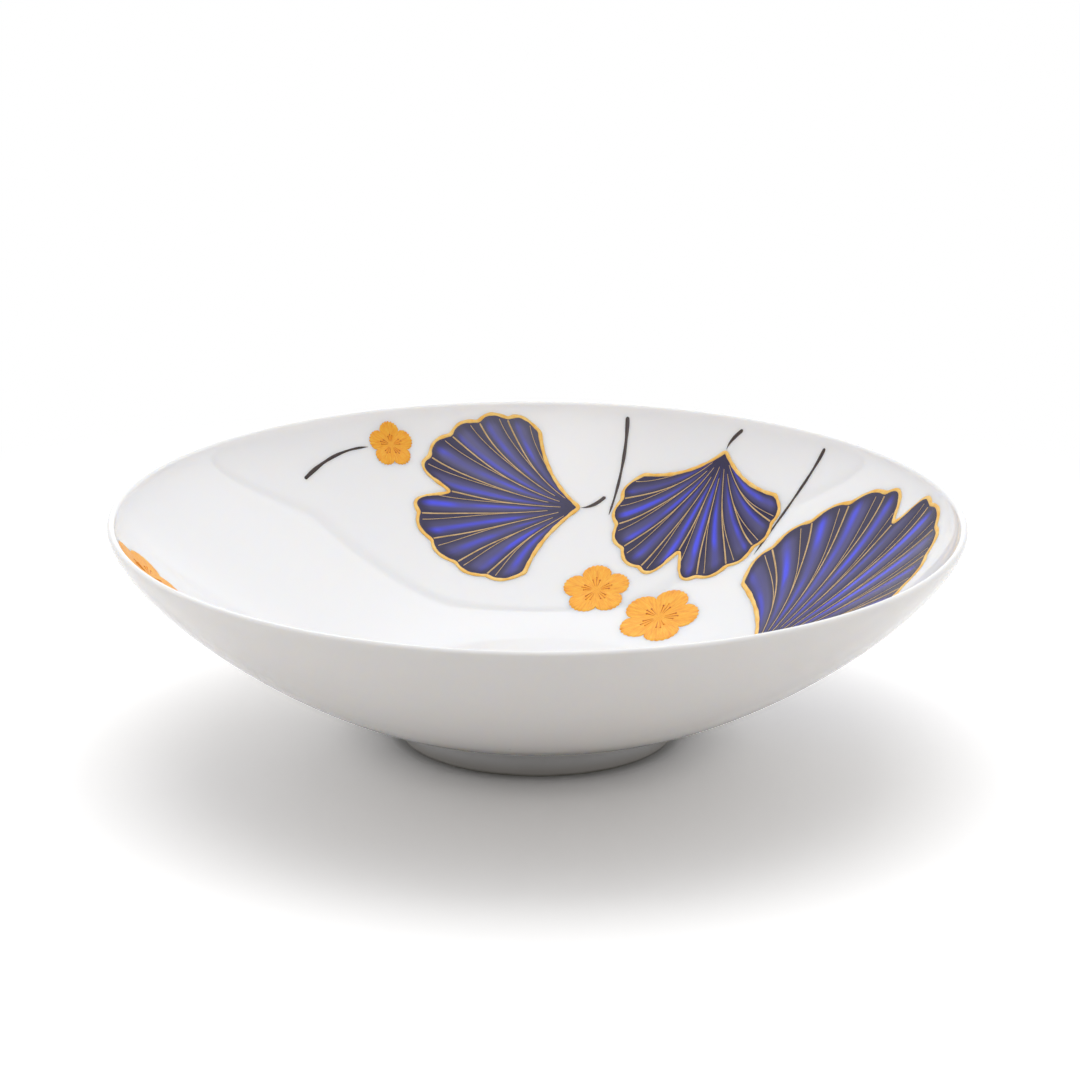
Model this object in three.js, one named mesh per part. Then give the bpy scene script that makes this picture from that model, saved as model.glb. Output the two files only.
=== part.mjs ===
import * as THREE from 'three';

// A shallow porcelain bowl on a foot ring, with raised enamel leaves and blossoms on its inside.
// Lengths are in millimetres and angles in degrees. +Z is up, and the origin is on the table,
// under the middle of the bowl.

// Sizes of the porcelain
const rimDiameter = 182;
const bowlHeight = 48.8;
const lipThickness = 1.6;
const wallAtFoot = 3.0;
const floorThickness = 2.8;
const footDiameter = 59.4;
const footRingWidth = 3.6;
const footRingHeight = 3.6;
const footEdgeRound = 0.9;
const stubHeight = 1.0;
const stubFillet = 2.0;
const recessRise = 1.3;
const recessFillet = 1.1;

// Curve of the outer wall: it leaves the foot at a low angle and ends upright at the lip
const wallStartAngle = 6.9;
const wallStartPull = 22;
const lipPull = 9.2;

// Sizes of the enamel
const enamelThickness = 0.4;
const enamelBed = 0.3;
const enamelSpacing = 2.4;
const enamelBreak = 0.4;
const lipMargin = 2.0;

// Room that each motif takes on the wall, as the radius of a circle around it
const rightLeafRoom = 31;
const middleLeafRoom = 22;
const backLeafRoom = 24;
const leftLeafRoom = 18;
const rightBlossomRoom = 9.5;
const backBlossomRoom = 8;
const leftBlossomRoom = 10;
const sprigBlossomRoom = 6;

// Way round the bowl, anticlockwise from +X, of the two motifs that the others follow
const rightLeafAngle = 16;
const leftBlossomAngle = 189;

// Shape of a leaf inside its circle
const leafLobes = 10;
const fanHalfAngle = 60;
const fanBaseShare = 0.74;
const scallopDepth = 1.2;
const notchDepth = 8;
const notchHalfAngle = 5;
const baseSpreadShare = 0.66;
const shoulderDrop = 0.1;
const shoulderSharpness = 12;

// Shape of a blossom
const petalCount = 5;
const petalDip = 0.3;
const petalRoundness = 0.6;

// Brushed lines
const stalkWidth = 1.2;
const stalkTipWidth = 0.7;
const twigWidth = 1.0;
const twigTipWidth = 0.5;
const lipTwigBend = 1.5;
const sprigTwigLength = 20;
const sprigTwigDrop = 9;

// Fineness of the facets
const turnSegments = 72;
const wallSteps = 14;
const floorSteps = 4;
const filletSteps = 3;
const lipSteps = 4;
const leafRings = 7;
const facetsPerLobe = 3;
const facetsPerPetal = 8;
const blossomRings = 2;
const strokeSteps = 8;

const radians = THREE.MathUtils.degToRad;
const rimRadius = rimDiameter / 2;
const footRadius = footDiameter / 2;
const footInnerRadius = footRadius - footRingWidth;

const porcelain = new THREE.MeshStandardMaterial({ color: 0xf4f4f1, roughness: 0.12, metalness: 0 });
const bareClay = new THREE.MeshStandardMaterial({ color: 0xe4dfd4, roughness: 0.75, metalness: 0 });
const cobalt = new THREE.MeshStandardMaterial({ color: 0x1a1c8c, roughness: 0.18, metalness: 0 });
const amber = new THREE.MeshStandardMaterial({ color: 0xf5a623, roughness: 0.3, metalness: 0 });
const darkBrown = new THREE.MeshStandardMaterial({ color: 0x2c1f1b, roughness: 0.35, metalness: 0 });

// Points on an arc from one angle to another, both ends included
function arcPoints(centreX, centreY, radius, fromDegrees, toDegrees, steps) {
  const points = [];
  for (let k = 0; k <= steps; k += 1) {
    const angle = radians(fromDegrees + (toDegrees - fromDegrees) * k / steps);
    points.push(new THREE.Vector2(centreX + radius * Math.cos(angle), centreY + radius * Math.sin(angle)));
  }
  return points;
}

// The outer wall starts where the stub's fillet runs into it
const stubTop = footRingHeight + stubHeight;
const filletCentre = new THREE.Vector2(footRadius + stubFillet, stubTop);
const wallStart = new THREE.Vector2(
  filletCentre.x - stubFillet * Math.sin(radians(wallStartAngle)),
  filletCentre.y + stubFillet * Math.cos(radians(wallStartAngle)),
);
const wallTop = new THREE.Vector2(rimRadius, bowlHeight - lipThickness / 2);
const outerWall = new THREE.CubicBezierCurve(
  wallStart,
  new THREE.Vector2(
    wallStart.x + wallStartPull * Math.cos(radians(wallStartAngle)),
    wallStart.y + wallStartPull * Math.sin(radians(wallStartAngle)),
  ),
  new THREE.Vector2(wallTop.x, wallTop.y - lipPull),
  wallTop,
);

// The inner wall lies inside the outer one by a thickness that shrinks from the foot to the lip
function innerWallPoints(steps) {
  const points = [];
  for (let k = 0; k <= steps; k += 1) {
    const point = outerWall.getPoint(k / steps);
    const along = outerWall.getTangent(k / steps);
    const thickness = THREE.MathUtils.lerp(wallAtFoot, lipThickness, k / steps);
    points.push(new THREE.Vector2(point.x - along.y * thickness, point.y + along.x * thickness));
  }
  return points;
}

// The inside of the floor is level in the middle and meets the wall at the wall's own slope
const recessTop = footRingHeight + recessRise;
const floorTop = recessTop + floorThickness;
const innerWallStart = innerWallPoints(1)[0];
const floorCurve = new THREE.CubicBezierCurve(
  new THREE.Vector2(0, floorTop),
  new THREE.Vector2(innerWallStart.x / 3, floorTop),
  new THREE.Vector2(
    innerWallStart.x * 2 / 3,
    innerWallStart.y - innerWallStart.x / 3 * Math.tan(radians(wallStartAngle)),
  ),
  innerWallStart,
);

// One curve from the middle of the floor up to the lip: the surface that the enamel lies on
const meridianSamples = 60;
const innerMeridian = new THREE.SplineCurve([
  ...floorCurve.getPoints(meridianSamples).slice(0, -1),
  ...innerWallPoints(meridianSamples),
]);
innerMeridian.arcLengthDivisions = 600;
const meridianLength = innerMeridian.getLength();

// A solid of revolution about +Z from an outline of radius and height
function turned(outline) {
  const geometry = new THREE.LatheGeometry(outline, turnSegments);
  geometry.rotateX(Math.PI / 2);
  return geometry;
}

function bowlShellGeometry() {
  const lipCentreX = rimRadius - lipThickness / 2;
  const recessRadius = footInnerRadius - recessFillet;
  const outline = [
    new THREE.Vector2(0, recessTop),
    ...arcPoints(recessRadius, recessTop - recessFillet, recessFillet, 90, 0, filletSteps),
    new THREE.Vector2(footInnerRadius, footRingHeight),
    new THREE.Vector2(footRadius, footRingHeight),
    ...arcPoints(filletCentre.x, filletCentre.y, stubFillet, 180, 90 + wallStartAngle, filletSteps),
    ...outerWall.getPoints(wallSteps).slice(1),
    ...arcPoints(lipCentreX, wallTop.y, lipThickness / 2, 0, 180, lipSteps).slice(1, -1),
    ...innerWallPoints(wallSteps).reverse(),
    ...floorCurve.getPoints(floorSteps).reverse().slice(1),
  ];
  return turned(outline);
}

function footRingGeometry() {
  const outline = [
    new THREE.Vector2(footInnerRadius, footRingHeight),
    ...arcPoints(footInnerRadius + footEdgeRound, footEdgeRound, footEdgeRound, 180, 270, filletSteps),
    ...arcPoints(footRadius - footEdgeRound, footEdgeRound, footEdgeRound, 270, 360, filletSteps),
    new THREE.Vector2(footRadius, footRingHeight),
    new THREE.Vector2(footInnerRadius, footRingHeight),
  ];
  return turned(outline);
}

// The wall's inside, rolled out flat: a point's distance from the middle is its way up the wall,
// and its direction is its way round the bowl. This puts a flat point back on the wall, raised.
function onWall(flat, raised) {
  const share = flat.length() / meridianLength;
  const point = innerMeridian.getPointAt(share);
  const along = innerMeridian.getTangentAt(share);
  const radius = point.x - along.y * raised;
  const height = point.y + along.x * raised;
  const turn = flat.angle();
  return [radius * Math.cos(turn), radius * Math.sin(turn), height];
}

// A motif's room is a circle on the rolled-out wall
function roomAt(distance, angle, radius) {
  const centre = new THREE.Vector2(distance * Math.cos(angle), distance * Math.sin(angle));
  return { centre, radius };
}

function roomAtLip(radius, angleDegrees) {
  return roomAt(meridianLength - lipMargin - radius, radians(angleDegrees), radius);
}

// The next room along the lip, anticlockwise, one spacing away from the last one
function roomAfter(last, radius) {
  const distance = meridianLength - lipMargin - radius;
  const lastDistance = last.centre.length();
  const apart = last.radius + enamelSpacing + radius;
  const cosine = (distance ** 2 + lastDistance ** 2 - apart ** 2) / (2 * distance * lastDistance);
  return roomAt(distance, last.centre.angle() + Math.acos(cosine), radius);
}

// A room nested between two others, one spacing from each, on the side of the bowl's middle
function roomBetween(first, second, radius) {
  const fromFirst = first.radius + enamelSpacing + radius;
  const fromSecond = second.radius + enamelSpacing + radius;
  const across = second.centre.clone().sub(first.centre);
  const apart = across.length();
  const along = (fromFirst ** 2 - fromSecond ** 2 + apart ** 2) / (2 * apart);
  const aside = Math.sqrt(fromFirst ** 2 - along ** 2);
  const direction = across.clone().normalize();
  const inward = new THREE.Vector2(-direction.y, direction.x);
  const centre = first.centre.clone().addScaledVector(direction, along).addScaledVector(inward, aside);
  return { centre, radius };
}

// A point of a motif, given in its own circle with +Y along the motif's axis, on the flat wall
function placed(room, turnDegrees, x, y) {
  const local = new THREE.Vector2(x, y).rotateAround(new THREE.Vector2(), radians(turnDegrees));
  return local.add(room.centre);
}

// A closed thin solid from two like layers of flat points and the edges that bound them
function enamelGeometry(flatPoints, triangles, border) {
  const under = flatPoints.map((flat) => onWall(flat, enamelBed));
  const over = flatPoints.map((flat) => onWall(flat, enamelBed + enamelThickness));
  const count = flatPoints.length;
  const faces = [];
  for (const [a, b, c] of triangles) {
    faces.push(count + a, count + b, count + c);
    faces.push(a, c, b);
  }
  for (let k = 0; k < border.length; k += 1) {
    const here = border[k];
    const next = border[(k + 1) % border.length];
    faces.push(here, next, count + next);
    faces.push(here, count + next, count + here);
  }
  const geometry = new THREE.BufferGeometry();
  geometry.setAttribute('position', new THREE.Float32BufferAttribute([...under, ...over].flat(), 3));
  geometry.setIndex(faces);
  geometry.computeVertexNormals();
  return geometry;
}

// Spokes and rings around a first point. An open fan ends in two straight sides at that point.
function spokedGeometry(first, rings, spokes, closed, pointAt) {
  const flatPoints = [first];
  const columns = closed ? spokes : spokes + 1;
  for (let ring = 1; ring <= rings; ring += 1) {
    for (let spoke = 0; spoke < columns; spoke += 1) {
      flatPoints.push(pointAt(ring / rings, spoke / spokes));
    }
  }
  const index = (ring, spoke) => 1 + (ring - 1) * columns + (spoke % columns);
  const triangles = [];
  for (let spoke = 0; spoke < spokes; spoke += 1) {
    triangles.push([0, index(1, spoke), index(1, spoke + 1)]);
    for (let ring = 1; ring < rings; ring += 1) {
      triangles.push([index(ring, spoke), index(ring + 1, spoke), index(ring + 1, spoke + 1)]);
      triangles.push([index(ring, spoke), index(ring + 1, spoke + 1), index(ring, spoke + 1)]);
    }
  }
  const border = [];
  if (!closed) {
    border.push(0);
    for (let ring = 1; ring < rings; ring += 1) border.push(index(ring, 0));
  }
  for (let spoke = 0; spoke < columns; spoke += 1) border.push(index(rings, spoke));
  if (!closed) {
    for (let ring = rings - 1; ring >= 1; ring -= 1) border.push(index(ring, spokes));
  }
  return enamelGeometry(flatPoints, triangles, border);
}

// A fan-shaped leaf: narrow at its base, scalloped and notched along its far edge, which follows
// the room's circle
function leafGeometry(room, turnDegrees) {
  const baseBelow = room.radius * fanBaseShare;
  const pointAt = (reach, across) => {
    const side = 2 * across - 1;
    const spread = radians(fanHalfAngle * side);
    const toCircle = baseBelow * Math.cos(spread)
      + Math.sqrt(room.radius ** 2 - (baseBelow * Math.sin(spread)) ** 2);
    const scallop = scallopDepth * (1 - Math.abs(Math.sin(Math.PI * leafLobes * across)));
    const notch = notchDepth * Math.exp(-((fanHalfAngle * side / notchHalfAngle) ** 2));
    const shoulder = shoulderDrop * toCircle * side ** shoulderSharpness;
    const length = toCircle - scallop - notch - shoulder;
    const angle = spread * THREE.MathUtils.lerp(baseSpreadShare, 1, reach);
    const x = -reach * length * Math.sin(angle);
    const y = reach * length * Math.cos(angle) - baseBelow;
    return placed(room, turnDegrees, x, y);
  };
  const base = placed(room, turnDegrees, 0, -baseBelow);
  return spokedGeometry(base, leafRings, leafLobes * facetsPerLobe, false, pointAt);
}

// A round blossom of five petals
function blossomGeometry(room, turnDegrees) {
  const pointAt = (reach, around) => {
    const petal = Math.abs(Math.sin(Math.PI * petalCount * around));
    const edge = room.radius * (1 - petalDip * (1 - petal ** petalRoundness));
    const angle = 2 * Math.PI * around;
    return placed(room, turnDegrees, reach * edge * Math.cos(angle), reach * edge * Math.sin(angle));
  };
  const spokes = petalCount * facetsPerPetal;
  return spokedGeometry(room.centre, blossomRings, spokes, true, pointAt);
}

// A brushed line that tapers from one end of a flat curve to the other
function strokeGeometry(curve, startWidth, endWidth) {
  const flatPoints = [];
  for (let k = 0; k <= strokeSteps; k += 1) {
    const share = k / strokeSteps;
    const point = curve.getPointAt(share);
    const along = curve.getTangentAt(share);
    const half = THREE.MathUtils.lerp(startWidth, endWidth, share) / 2;
    flatPoints.push(new THREE.Vector2(point.x + along.y * half, point.y - along.x * half));
    flatPoints.push(new THREE.Vector2(point.x - along.y * half, point.y + along.x * half));
  }
  const triangles = [];
  for (let k = 0; k < strokeSteps; k += 1) {
    const right = 2 * k;
    triangles.push([right, right + 2, right + 3]);
    triangles.push([right, right + 3, right + 1]);
  }
  const rightSide = [];
  const leftSide = [];
  for (let k = 0; k <= strokeSteps; k += 1) {
    rightSide.push(2 * k);
    leftSide.unshift(2 * k + 1);
  }
  return enamelGeometry(flatPoints, triangles, [...rightSide, ...leftSide]);
}

// The stalk runs from just behind the leaf's base to the edge of the leaf's circle
function stalkGeometry(room, turnDegrees, bend) {
  const start = -room.radius * fanBaseShare - enamelBreak;
  const end = -room.radius;
  const curve = new THREE.QuadraticBezierCurve(
    placed(room, turnDegrees, 0, start),
    placed(room, turnDegrees, 0, (start + end) / 2),
    placed(room, turnDegrees, bend, end),
  );
  return strokeGeometry(curve, stalkTipWidth, stalkWidth);
}

// The twig runs from the lip down to the neck between two rooms
function lipTwigGeometry(first, second, bend) {
  const towards = second.centre.clone().sub(first.centre).normalize();
  const neck = first.centre.clone().addScaledVector(towards, first.radius + enamelSpacing / 2);
  const lipEnd = neck.clone().setLength(meridianLength - lipMargin);
  const middle = neck.clone().add(lipEnd).divideScalar(2).addScaledVector(towards, bend);
  return strokeGeometry(new THREE.QuadraticBezierCurve(lipEnd, middle, neck), twigWidth, twigTipWidth);
}

// The sprig's twig leaves its blossom on the side away from the leaves, and bends to the middle
function sprigTwigGeometry(room) {
  const onward = new THREE.Vector2(-room.centre.y, room.centre.x).normalize();
  const inward = room.centre.clone().normalize().negate();
  const start = room.centre.clone().addScaledVector(onward, room.radius + enamelBreak);
  const middle = start.clone().addScaledVector(onward, sprigTwigLength / 2);
  const end = start.clone().addScaledVector(onward, sprigTwigLength);
  end.addScaledVector(inward, sprigTwigDrop);
  return strokeGeometry(new THREE.QuadraticBezierCurve(start, middle, end), twigTipWidth, twigWidth);
}

const rightRoom = roomAtLip(rightLeafRoom, rightLeafAngle);
const middleRoom = roomAfter(rightRoom, middleLeafRoom);
const backRoom = roomAfter(middleRoom, backLeafRoom);
const sprigPlace = roomAfter(backRoom, sprigBlossomRoom);
const leftBlossomPlace = roomAtLip(leftBlossomRoom, leftBlossomAngle);
const leftRoom = roomAfter(leftBlossomPlace, leftLeafRoom);
const rightBlossomPlace = roomBetween(rightRoom, middleRoom, rightBlossomRoom);
const backBlossomPlace = roomBetween(middleRoom, backRoom, backBlossomRoom);

const bowl = new THREE.Group();

function addPiece(name, geometry, material) {
  const mesh = new THREE.Mesh(geometry, material.clone());
  mesh.name = name;
  bowl.add(mesh);
}

addPiece('bowl_shell', bowlShellGeometry(), porcelain);
addPiece('foot_ring', footRingGeometry(), bareClay);

const leaves = [
  { name: 'right', room: rightRoom, turn: -62, bend: 3 },
  { name: 'middle', room: middleRoom, turn: 150, bend: -3 },
  { name: 'back', room: backRoom, turn: 85, bend: 3 },
  { name: 'left', room: leftRoom, turn: 60, bend: -2 },
];
for (const leaf of leaves) {
  addPiece(`${leaf.name}_leaf`, leafGeometry(leaf.room, leaf.turn), cobalt);
  addPiece(`${leaf.name}_leaf_stalk`, stalkGeometry(leaf.room, leaf.turn, leaf.bend), darkBrown);
}
addPiece('right_blossom', blossomGeometry(rightBlossomPlace, 20), amber);
addPiece('back_blossom', blossomGeometry(backBlossomPlace, 50), amber);
addPiece('left_blossom', blossomGeometry(leftBlossomPlace, 0), amber);
addPiece('sprig_blossom', blossomGeometry(sprigPlace, 0), amber);
addPiece('right_twig', lipTwigGeometry(rightRoom, middleRoom, lipTwigBend), darkBrown);
addPiece('back_twig', lipTwigGeometry(middleRoom, backRoom, -lipTwigBend), darkBrown);
addPiece('sprig_twig', sprigTwigGeometry(sprigPlace), darkBrown);

export default bowl;
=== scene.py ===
import collections
import math

import bmesh
import bpy
import numpy as np
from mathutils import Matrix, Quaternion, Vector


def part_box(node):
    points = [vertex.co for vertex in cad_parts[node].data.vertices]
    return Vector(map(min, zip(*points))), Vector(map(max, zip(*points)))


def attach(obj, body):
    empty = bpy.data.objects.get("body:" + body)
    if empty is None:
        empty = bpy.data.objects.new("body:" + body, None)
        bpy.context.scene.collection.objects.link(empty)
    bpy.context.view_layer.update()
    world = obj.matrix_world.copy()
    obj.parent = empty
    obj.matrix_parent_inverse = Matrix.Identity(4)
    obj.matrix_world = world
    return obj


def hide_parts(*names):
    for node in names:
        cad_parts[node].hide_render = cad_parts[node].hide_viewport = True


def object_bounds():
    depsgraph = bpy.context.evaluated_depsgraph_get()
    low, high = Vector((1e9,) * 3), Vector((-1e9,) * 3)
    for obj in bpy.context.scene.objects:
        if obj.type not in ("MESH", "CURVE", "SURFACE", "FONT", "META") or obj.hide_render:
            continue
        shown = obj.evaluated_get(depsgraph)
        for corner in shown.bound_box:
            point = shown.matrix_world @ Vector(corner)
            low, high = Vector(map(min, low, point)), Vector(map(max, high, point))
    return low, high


# A shallow porcelain bowl with raised enamel leaves, blossoms and twigs on its inside.
# Lengths are in metres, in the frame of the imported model, and angles are in degrees.

MM = 0.001

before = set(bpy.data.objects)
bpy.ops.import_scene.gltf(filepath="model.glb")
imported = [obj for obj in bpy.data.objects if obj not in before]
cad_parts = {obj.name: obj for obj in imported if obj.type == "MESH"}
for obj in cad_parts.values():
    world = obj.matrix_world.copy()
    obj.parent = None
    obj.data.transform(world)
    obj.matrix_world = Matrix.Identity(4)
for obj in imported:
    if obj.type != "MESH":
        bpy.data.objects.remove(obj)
cad_low, cad_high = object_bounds()
foot_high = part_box("foot_ring")[1]

# Sizes of the porcelain
RIM_RADIUS = cad_high.x
BOWL_HEIGHT = cad_high.z
FOOT_RADIUS = foot_high.x
FOOT_RING_HEIGHT = foot_high.z
LIP_THICKNESS = 1.6 * MM
WALL_AT_FOOT = 3.0 * MM
FLOOR_THICKNESS = 2.8 * MM
FOOT_RING_WIDTH = 3.6 * MM
FOOT_INNER = FOOT_RADIUS - FOOT_RING_WIDTH
FOOT_EDGE_ROUND = 0.9 * MM
STUB_HEIGHT = 1.0 * MM
STUB_FILLET = 2.0 * MM
RECESS_RISE = 1.3 * MM
RECESS_FILLET = 1.1 * MM
WALL_START_ANGLE = 6.9
WALL_START_PULL = 22 * MM
LIP_PULL = 9.2 * MM

# The bare edge that the bowl stands on, below the end of the glaze, which wanders in a sum of
# waves. Each has its share, its number of periods and its phase.
GLAZE_END = 0.5 * MM
GLAZE_END_WANDER = 0.12 * MM
GLAZE_END_WAVES = [(0.5, 3, 0.6), (0.3, 7, 2.1), (0.2, 17, 0)]
GLAZE_STEP = 0.07 * MM
GLAZE_STEP_HEIGHT = 0.16 * MM

# Rooms of the motifs, as on the solids that they replace
ENAMEL_SPACING = 2.4 * MM
ENAMEL_BREAK = 0.4 * MM
LIP_MARGIN = 2.0 * MM
RIGHT_LEAF_ROOM = 31 * MM
MIDDLE_LEAF_ROOM = 22 * MM
BACK_LEAF_ROOM = 24 * MM
LEFT_LEAF_ROOM = 18 * MM
RIGHT_BLOSSOM_ROOM = 9.5 * MM
BACK_BLOSSOM_ROOM = 8 * MM
LEFT_BLOSSOM_ROOM = 10 * MM
SPRIG_BLOSSOM_ROOM = 6 * MM
RIGHT_LEAF_ANGLE = 16
LEFT_BLOSSOM_ANGLE = 189

# Shape of a leaf inside its room
LEAF_LOBES = 10
FAN_HALF_ANGLE = 60
FAN_BASE_SHARE = 0.74
SCALLOP_DEPTH = 1.2 * MM
NOTCH_DEPTH = 8 * MM
NOTCH_HALF_ANGLE = 5
BASE_SPREAD_SHARE = 0.66
SHOULDER_DROP = 0.1
SHOULDER_SHARPNESS = 12
LEAF_BASE_REACH = 0.02

# Shape of a blossom inside its room
PETAL_COUNT = 5
PETAL_DIP = 0.3
PETAL_ROUNDNESS = 0.6
FRINGE_TEETH = 9
FRINGE_DEPTH = 0.35 * MM

# Brushed lines
STALK_WIDTHS = (0.7 * MM, 1.2 * MM)
TWIG_WIDTHS = (0.5 * MM, 1.0 * MM)
LIP_TWIG_BEND = 1.5 * MM
SPRIG_TWIG_LENGTH = 20 * MM
SPRIG_TWIG_DROP = 9 * MM
BRUSH_TIP_LENGTH = 5
BRUSH_PRESSURE = 0.15
BRUSH_PRESSURE_LENGTH = 8 * MM
LEAST_WIDTH_SHARE = 0.1
GOLD_EDGE_WIDTH = 1.15 * MM
GOLD_EDGE_WAVES = [(0.1, 19), (0.07, 47)]
GOLD_CORNER_ROUND = 0.4 * MM
GOLD_LEAST_FINENESS = 0.55
GOLD_VEIN_WIDTH = 0.54 * MM
GOLD_VEIN_START_WIDTH = 0.3 * MM
GOLD_FORK_WIDTH = 0.38 * MM
GOLD_FORK_START_SHARE = 0.6
VEIN_START_REACHES = (0.17, 0.11)
VEIN_END_REACH = 0.985
VEIN_WOBBLE = 0.0035
FORK_RANGE = (0.36, 0.95)
FORK_START_WANDER = 0.06
FORK_TIP_REACH = 0.975
FORK_SHARE = 0.27
STAMEN_WIDTH = 0.3 * MM
STAMENS_PER_PETAL = 3
STAMEN_FAN = 0.2
STAMEN_START = 0.09
STAMEN_LENGTH = 0.46
STAMEN_SIDE_SHORTER = 0.07
STAMEN_WANDER = 0.03
STAMEN_DOT_POINTS = 14

# Relief of the enamel above the glaze
ENAMEL_SINK = 0.06 * MM
ENAMEL_RISE = 0.1 * MM
ENAMEL_EDGE = 0.4 * MM
LOBE_RISE = 0.12 * MM
PETAL_RISE = 0.1 * MM
GOLD_EDGE_RISE = 0.24 * MM
GOLD_VEIN_RISE = 0.2 * MM
LINE_RISE = 0.12 * MM
STAMEN_RISE = 0.26 * MM
STAMEN_DOT_RISE = 0.299 * MM

# Fineness of the meshes
MERIDIAN_SAMPLES = 800
TURN_SEGMENTS = 400
TURNS = np.linspace(0, 2 * np.pi, TURN_SEGMENTS, endpoint=False)
WALL_STEPS = 60
FLOOR_STEPS = 24
FILLET_STEPS = 12
LIP_STEPS = 14
SIDE_STEPS = 5
COLUMNS_PER_LOBE = 16
LEAF_ROWS = 34
END_CROWDING = 0.8
COLUMNS_PER_PETAL = 40
BLOSSOM_ROWS = 16
STROKE_STEP = 0.2 * MM
STROKE_SECTION = 7
SHARP_ANGLE = 40

Room = collections.namedtuple("Room", "centre radius")


def smooth_step(value, low, high):
    share = np.clip((value - low) / (high - low), 0, 1)
    return share * share * (3 - 2 * share)


def unit(vector):
    return vector / np.linalg.norm(vector)


def way_along(path):
    """The way along a path to each of its points."""
    return np.concatenate([[0], np.cumsum(np.linalg.norm(np.diff(path, axis=0), axis=1))])


def waves(turns, table):
    return sum(share * np.sin(count * turns + phase) for share, count, phase in table)


# The porcelain's curves


def arc_points(centre, radius, from_degrees, to_degrees, steps):
    angles = np.radians(np.linspace(from_degrees, to_degrees, steps + 1))
    return np.array(centre) + radius * np.column_stack([np.cos(angles), np.sin(angles)])


def bezier(corners, shares):
    """Points and unit tangents of a cubic curve."""
    a, b, c, d = (np.array(corner) for corner in corners)
    t = np.asarray(shares)[:, None]
    s = 1 - t
    points = s**3 * a + 3 * s**2 * t * b + 3 * s * t**2 * c + t**3 * d
    slopes = 3 * s**2 * (b - a) + 6 * s * t * (c - b) + 3 * t**2 * (d - c)
    return points, slopes / np.linalg.norm(slopes, axis=1)[:, None]


wall_angle = math.radians(WALL_START_ANGLE)
fillet_centre = np.array([FOOT_RADIUS + STUB_FILLET, FOOT_RING_HEIGHT + STUB_HEIGHT])
wall_start = fillet_centre + STUB_FILLET * np.array([-math.sin(wall_angle), math.cos(wall_angle)])
wall_top = np.array([RIM_RADIUS, BOWL_HEIGHT - LIP_THICKNESS / 2])
OUTER_WALL = (
    wall_start,
    wall_start + WALL_START_PULL * np.array([math.cos(wall_angle), math.sin(wall_angle)]),
    wall_top - np.array([0, LIP_PULL]),
    wall_top,
)


def inner_wall(shares):
    """The outer wall moved inwards by a thickness that shrinks from the foot to the lip."""
    points, tangents = bezier(OUTER_WALL, shares)
    thickness = WALL_AT_FOOT + (LIP_THICKNESS - WALL_AT_FOOT) * np.asarray(shares)
    normals = np.column_stack([-tangents[:, 1], tangents[:, 0]])
    return points + normals * thickness[:, None]


recess_top = FOOT_RING_HEIGHT + RECESS_RISE
floor_top = recess_top + FLOOR_THICKNESS
inner_start = inner_wall([0])[0]
FLOOR_CURVE = (
    np.array([0, floor_top]),
    np.array([inner_start[0] / 3, floor_top]),
    np.array([inner_start[0] * 2 / 3, inner_start[1] - inner_start[0] / 3 * math.tan(wall_angle)]),
    inner_start,
)

# One curve from the middle of the floor up to the lip: the surface that the enamel lies on
EVEN_SHARES = np.linspace(0, 1, MERIDIAN_SAMPLES)
meridian = np.vstack([bezier(FLOOR_CURVE, EVEN_SHARES)[0][:-1], inner_wall(EVEN_SHARES)])
meridian_way = way_along(meridian)
meridian_length = meridian_way[-1]
meridian_slope = np.gradient(meridian, meridian_way, axis=0)
wall_way = meridian_way[MERIDIAN_SAMPLES - 1:]


def on_wall(flat, raised):
    """Puts points of the rolled-out inner wall back on the wall, raised above the glaze.

    On the rolled-out wall a point's distance from the middle is its way up the wall, and its
    direction is its way round the bowl.
    """
    way = np.hypot(flat[..., 0], flat[..., 1])
    turn = np.arctan2(flat[..., 1], flat[..., 0])
    slope_out = np.interp(way, meridian_way, meridian_slope[:, 0])
    slope_up = np.interp(way, meridian_way, meridian_slope[:, 1])
    radius = np.interp(way, meridian_way, meridian[:, 0]) - slope_up * raised
    height = np.interp(way, meridian_way, meridian[:, 1]) + slope_out * raised
    return np.stack([radius * np.cos(turn), radius * np.sin(turn), height], axis=-1)


# Mesh helpers


def grid_faces(rows, columns, wrap_rows=False, wrap_columns=False, start=0):
    faces = []
    for row in range(rows if wrap_rows else rows - 1):
        for column in range(columns if wrap_columns else columns - 1):
            here = start + row * columns
            above = start + (row + 1) % rows * columns
            onward = (column + 1) % columns
            faces.append((here + column, here + onward, above + onward, above + column))
    return faces


def add_object(name, data):
    thing = bpy.data.objects.new(name, data)
    bpy.context.scene.collection.objects.link(thing)
    return thing


def make_piece(name, solid, material, replaced=None, fields=None):
    """A piece from a solid's vertices, faces and drawing coordinates, and fields on its points."""
    vertices, faces, drawing = solid
    mesh = bpy.data.meshes.new(name)
    mesh.from_pydata([tuple(vertex) for vertex in vertices], [], faces)
    work = bmesh.new()
    work.from_mesh(mesh)
    bmesh.ops.recalc_face_normals(work, faces=work.faces)
    work.to_mesh(mesh)
    work.free()
    mesh.shade_smooth()
    mesh.set_sharp_from_angle(angle=math.radians(SHARP_ANGLE))
    if drawing is not None:
        corners = np.zeros(len(mesh.loops), dtype=np.int32)
        mesh.loops.foreach_get("vertex_index", corners)
        layer = mesh.uv_layers.new(name="drawn")
        layer.uv.foreach_set("vector", np.asarray(drawing)[corners].ravel())
    for field, values in (fields or {}).items():
        attribute = mesh.attributes.new(field, "FLOAT", "POINT")
        attribute.data.foreach_set("value", np.asarray(values, dtype=np.float32))
    mesh.materials.append(material)
    piece = add_object(name, mesh)
    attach(piece, "root")
    if replaced:
        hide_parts(replaced)


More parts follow.
